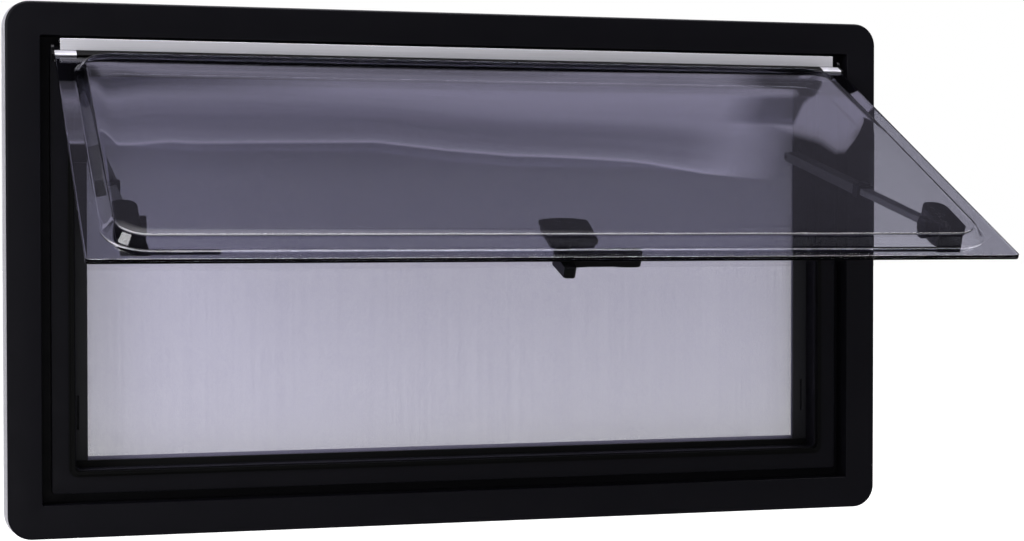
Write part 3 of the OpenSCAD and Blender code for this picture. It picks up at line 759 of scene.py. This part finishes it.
def curveOf(tree, value, spots, low, high):  # a broken line through (input, output) spots
    curve = addNode(tree, "ShaderNodeFloatCurve")
    reachIn = spots[-1][0] - spots[0][0]
    line = curve.mapping.curves[0]
    for i, (x, y) in enumerate(spots):
        place = ((x - spots[0][0]) / reachIn, (y - low) / (high - low))
        if i == 0:
            line.points[0].location = place
        elif i == len(spots) - 1:
            line.points[len(line.points) - 1].location = place
        else:
            line.points.new(*place)
    for point in line.points:
        point.handle_type = "VECTOR"
    curve.mapping.update()
    tree.links.new(rampOf(tree, value, 0, 1, spots[0][0], spots[-1][0]), curve.inputs["Value"])
    return rampOf(tree, curve.outputs["Value"], low, high, 0, 1)


def mixShaders(tree, factor, first, second):
    mix = addNode(tree, "ShaderNodeMixShader")
    tree.links.new(factor, mix.inputs["Fac"])
    tree.links.new(first, mix.inputs[1])
    tree.links.new(second, mix.inputs[2])
    return mix.outputs["Shader"]


def backdrop(tree, colour, strength=1.0):
    light = addNode(tree, "ShaderNodeBackground")
    feed(tree, light.inputs["Color"], colour)
    feed(tree, light.inputs["Strength"], strength)
    return light.outputs["Background"]


def panelLight(tree, across, slope):  # how bright the panel is in each direction
    def between(value, span, low=0, high=1):
        return rampOf(tree, value, low, high, *span)

    # The far edge isn't level: in the picture it falls to the right, and breaks off near its end
    edge = curveOf(tree, across, panel["edge"], *panel["slopes"])
    rightEdge = curveOf(tree, across, panel["rightEdge"], *panel["slopes"])
    under = between(maths(tree, "SUBTRACT", edge, slope), panel["edgeSoft"])
    under = maths(tree, "MULTIPLY", under, between(across, panel["fade"], 1, 0))
    underRight = between(maths(tree, "SUBTRACT", rightEdge, slope), panel["rightEdgeSoft"])
    under = maths(tree, "MAXIMUM", under, underRight)

    # The panel is bright where it starts, darker further on and brightest along its far edge, with streaks
    tall = maths(tree, "MAXIMUM", maths(tree, "SUBTRACT", edge, panel["top"]), panel["leastTall"])
    height = maths(tree, "DIVIDE", maths(tree, "SUBTRACT", slope, panel["top"]), tall)
    place = addNode(tree, "ShaderNodeCombineXYZ")
    tree.links.new(maths(tree, "MULTIPLY", across, streak["across"]), place.inputs["X"])
    tree.links.new(maths(tree, "MULTIPLY", height, streak["up"]), place.inputs["Y"])
    cloud = noiseOf(tree, place.outputs["Vector"], 1.0, streak["detail"], streak["rough"])
    streaks = between(cloud, streak["contrast"], -streak["strength"], streak["strength"])
    tone = maths(tree, "ADD", streaks, curveOf(tree, height, panel["tone"], 0, 1))
    tone = maths(tree, "MAXIMUM", tone, panel["darkest"])
    lift = maths(tree, "SUBTRACT", panel["rightTone"], tone)
    tone = maths(tree, "ADD", maths(tree, "MULTIPLY", between(across, panel["rightFrom"]), lift), tone)

    # A dark patch near its left end, and nothing before its start
    away = maths(tree, "ABSOLUTE", maths(tree, "SUBTRACT", height, patch["height"]))
    dark = maths(tree, "MULTIPLY", between(across, patch["across"], 1, 0),
                 between(away, patch["reach"], patch["strength"], 0))
    tone = maths(tree, "MAXIMUM", maths(tree, "SUBTRACT", tone, dark), panel["darkest"])
    tone = maths(tree, "MULTIPLY", tone, between(slope, panel["start"]))

    # A dark block near its right end
    wide = maths(tree, "MULTIPLY", between(across, block["left"]), between(across, block["right"], 1, 0))
    high = maths(tree, "MULTIPLY", between(slope, block["foot"]), between(slope, block["top"], 1, 0))
    shadow = maths(tree, "MULTIPLY", maths(tree, "MULTIPLY", wide, high), block["strength"])
    tone = maths(tree, "MULTIPLY", tone, maths(tree, "SUBTRACT", 1.0, shadow))
    light = maths(tree, "MULTIPLY", under, tone)
    for strip in panel["strips"]:
        away = maths(tree, "ABSOLUTE", maths(tree, "SUBTRACT", across, strip))
        light = maths(tree, "ADD", light, between(away, panel["stripWidth"], panel["stripTone"], 0))
    return light


def makeWorld():
    world = bpy.data.worlds.new("studio")
    bpy.context.scene.world = world
    world.use_nodes = True
    tree = world.node_tree
    tree.nodes.clear()
    out = addNode(tree, "ShaderNodeOutputWorld")
    path = addNode(tree, "ShaderNodeLightPath")
    where = addNode(tree, "ShaderNodeTexCoord")
    split = addNode(tree, "ShaderNodeSeparateXYZ")
    tree.links.new(where.outputs["Generated"], split.inputs["Vector"])
    up = split.outputs["Z"]
    glossy, transmitted = path.outputs["Is Glossy Ray"], path.outputs["Is Transmission Ray"]
    back = maths(tree, "MAXIMUM", split.outputs["Y"], room["nearest"])
    slope = maths(tree, "DIVIDE", up, back)
    across = maths(tree, "DIVIDE", split.outputs["X"], back)
    behind = rampOf(tree, split.outputs["Y"], 0, 1, *room["behindFrom"])
    walls = mixColours(tree, behind, room["dark"], room["behind"])
    lit = mixColours(tree, panelLight(tree, across, slope), walls, panel["colour"])

    # A broad light overhead draws the bright line along the dome's ridge. It is mirrored once only, and
    # the background counts a first bounce as two
    glow = maths(tree, "ADD", rampOf(tree, up, 0, zenith["edgeTone"], *zenith["edge"]),
                 rampOf(tree, up, 0, zenith["middleTone"], *zenith["middle"]))
    first = maths(tree, "LESS_THAN", path.outputs["Ray Depth"], zenith["firstBounce"])
    glow = maths(tree, "MULTIPLY", glow, maths(tree, "MULTIPLY", first, glossy))
    mirrored = backdrop(tree, mixColours(tree, glow, lit, zenith["glow"]))

    # Straight through the sash the backdrop is in shade behind the top of the opening
    shade = rampOf(tree, up, 1, room["shadeTone"], *room["shade"])
    beside = rampOf(tree, across, 0, 1, *room["beside"])
    shaded = maths(tree, "MULTIPLY", maths(tree, "MAXIMUM", shade, beside), room["white"])

    # What is seen straight through the sheets lies low; what they mirror inside lies high
    through = maths(tree, "MULTIPLY", transmitted, maths(tree, "LESS_THAN", up, room["high"]))
    inner = mixShaders(tree, maths(tree, "MAXIMUM", glossy, transmitted),
                       backdrop(tree, (1, 1, 1), room["fill"]), mirrored)
    inner = mixShaders(tree, through, inner, backdrop(tree, (1, 1, 1), shaded))
    outer = mixShaders(tree, path.outputs["Is Camera Ray"], inner, backdrop(tree, (1, 1, 1), room["white"]))
    tree.links.new(outer, out.inputs["Surface"])


lamps = {
    "overhead": {"place": (0.9, 0.75, 3.0), "size": (3.4, 0.45), "power": 30, "straight": True},
    "keyLeft": {"place": (-2.8, -1.6, 1.7), "size": (1.4, 1.8), "power": 60, "straight": False},
    "frontLeft": {"place": (-0.9, -3.2, -0.2), "size": (1.2, 1.2), "power": 6, "straight": False},
}


def areaLamp(name, place, size, power, straight):  # aims at the window's middle, or straight back at it
    data = bpy.data.lights.new(name, "AREA")
    data.shape = "RECTANGLE"
    data.size, data.size_y = size
    data.energy = power
    lamp = bpy.data.objects.new(name, data)
    lamp.location = place
    aim = Vector((place[0] if straight else windowMiddle.x, windowMiddle.y, windowMiddle.z))
    lamp.rotation_euler = (aim - Vector(place)).to_track_quat("-Z", "Y").to_euler()
    lamp.visible_camera = False
    bpy.context.scene.collection.objects.link(lamp)


ground = {"half": 30, "drop": 0.34, "colour": (0.9, 0.9, 0.9), "rough": 0.8, "glow": 0.4}


def makeFloor():
    half = ground["half"]
    data = bpy.data.meshes.new("floor")
    corners = [(-half, -half, 0), (half, -half, 0), (half, half, 0), (-half, half, 0)]
    data.from_pydata(corners, [], [(0, 1, 2, 3)])
    floor = bpy.data.objects.new("floor", data)
    floor.location = (0, 0, flangeLow.z - ground["drop"])
    bpy.context.scene.collection.objects.link(floor)
    material, tree, shader = newMaterial("floor_white", ground["colour"], Roughness=ground["rough"])
    shader.inputs["Emission Color"].default_value = (1, 1, 1, 1)
    shader.inputs["Emission Strength"].default_value = ground["glow"]
    data.materials.append(material)
    floor.visible_glossy = False


# The camera stands where a fit of the frame's corners puts it
view = {"lens": 72.68, "sensor": 36, "place": (-0.5505, -2.1245, 0.2963), "turn": (88.807, 0.038, -15.843)}


def makeCamera():
    data = bpy.data.cameras.new("camera")
    data.sensor_width = view["sensor"]
    data.lens = view["lens"]
    camera = bpy.data.objects.new("camera", data)
    camera.location = view["place"]
    camera.rotation_euler = tuple(math.radians(a) for a in view["turn"])
    bpy.context.scene.collection.objects.link(camera)
    bpy.context.scene.camera = camera


makeWorld()
for name, spec in lamps.items():
    areaLamp(name, **spec)
makeFloor()
makeCamera()
bpy.context.scene.view_settings.view_transform = "Standard"
print("studio made")
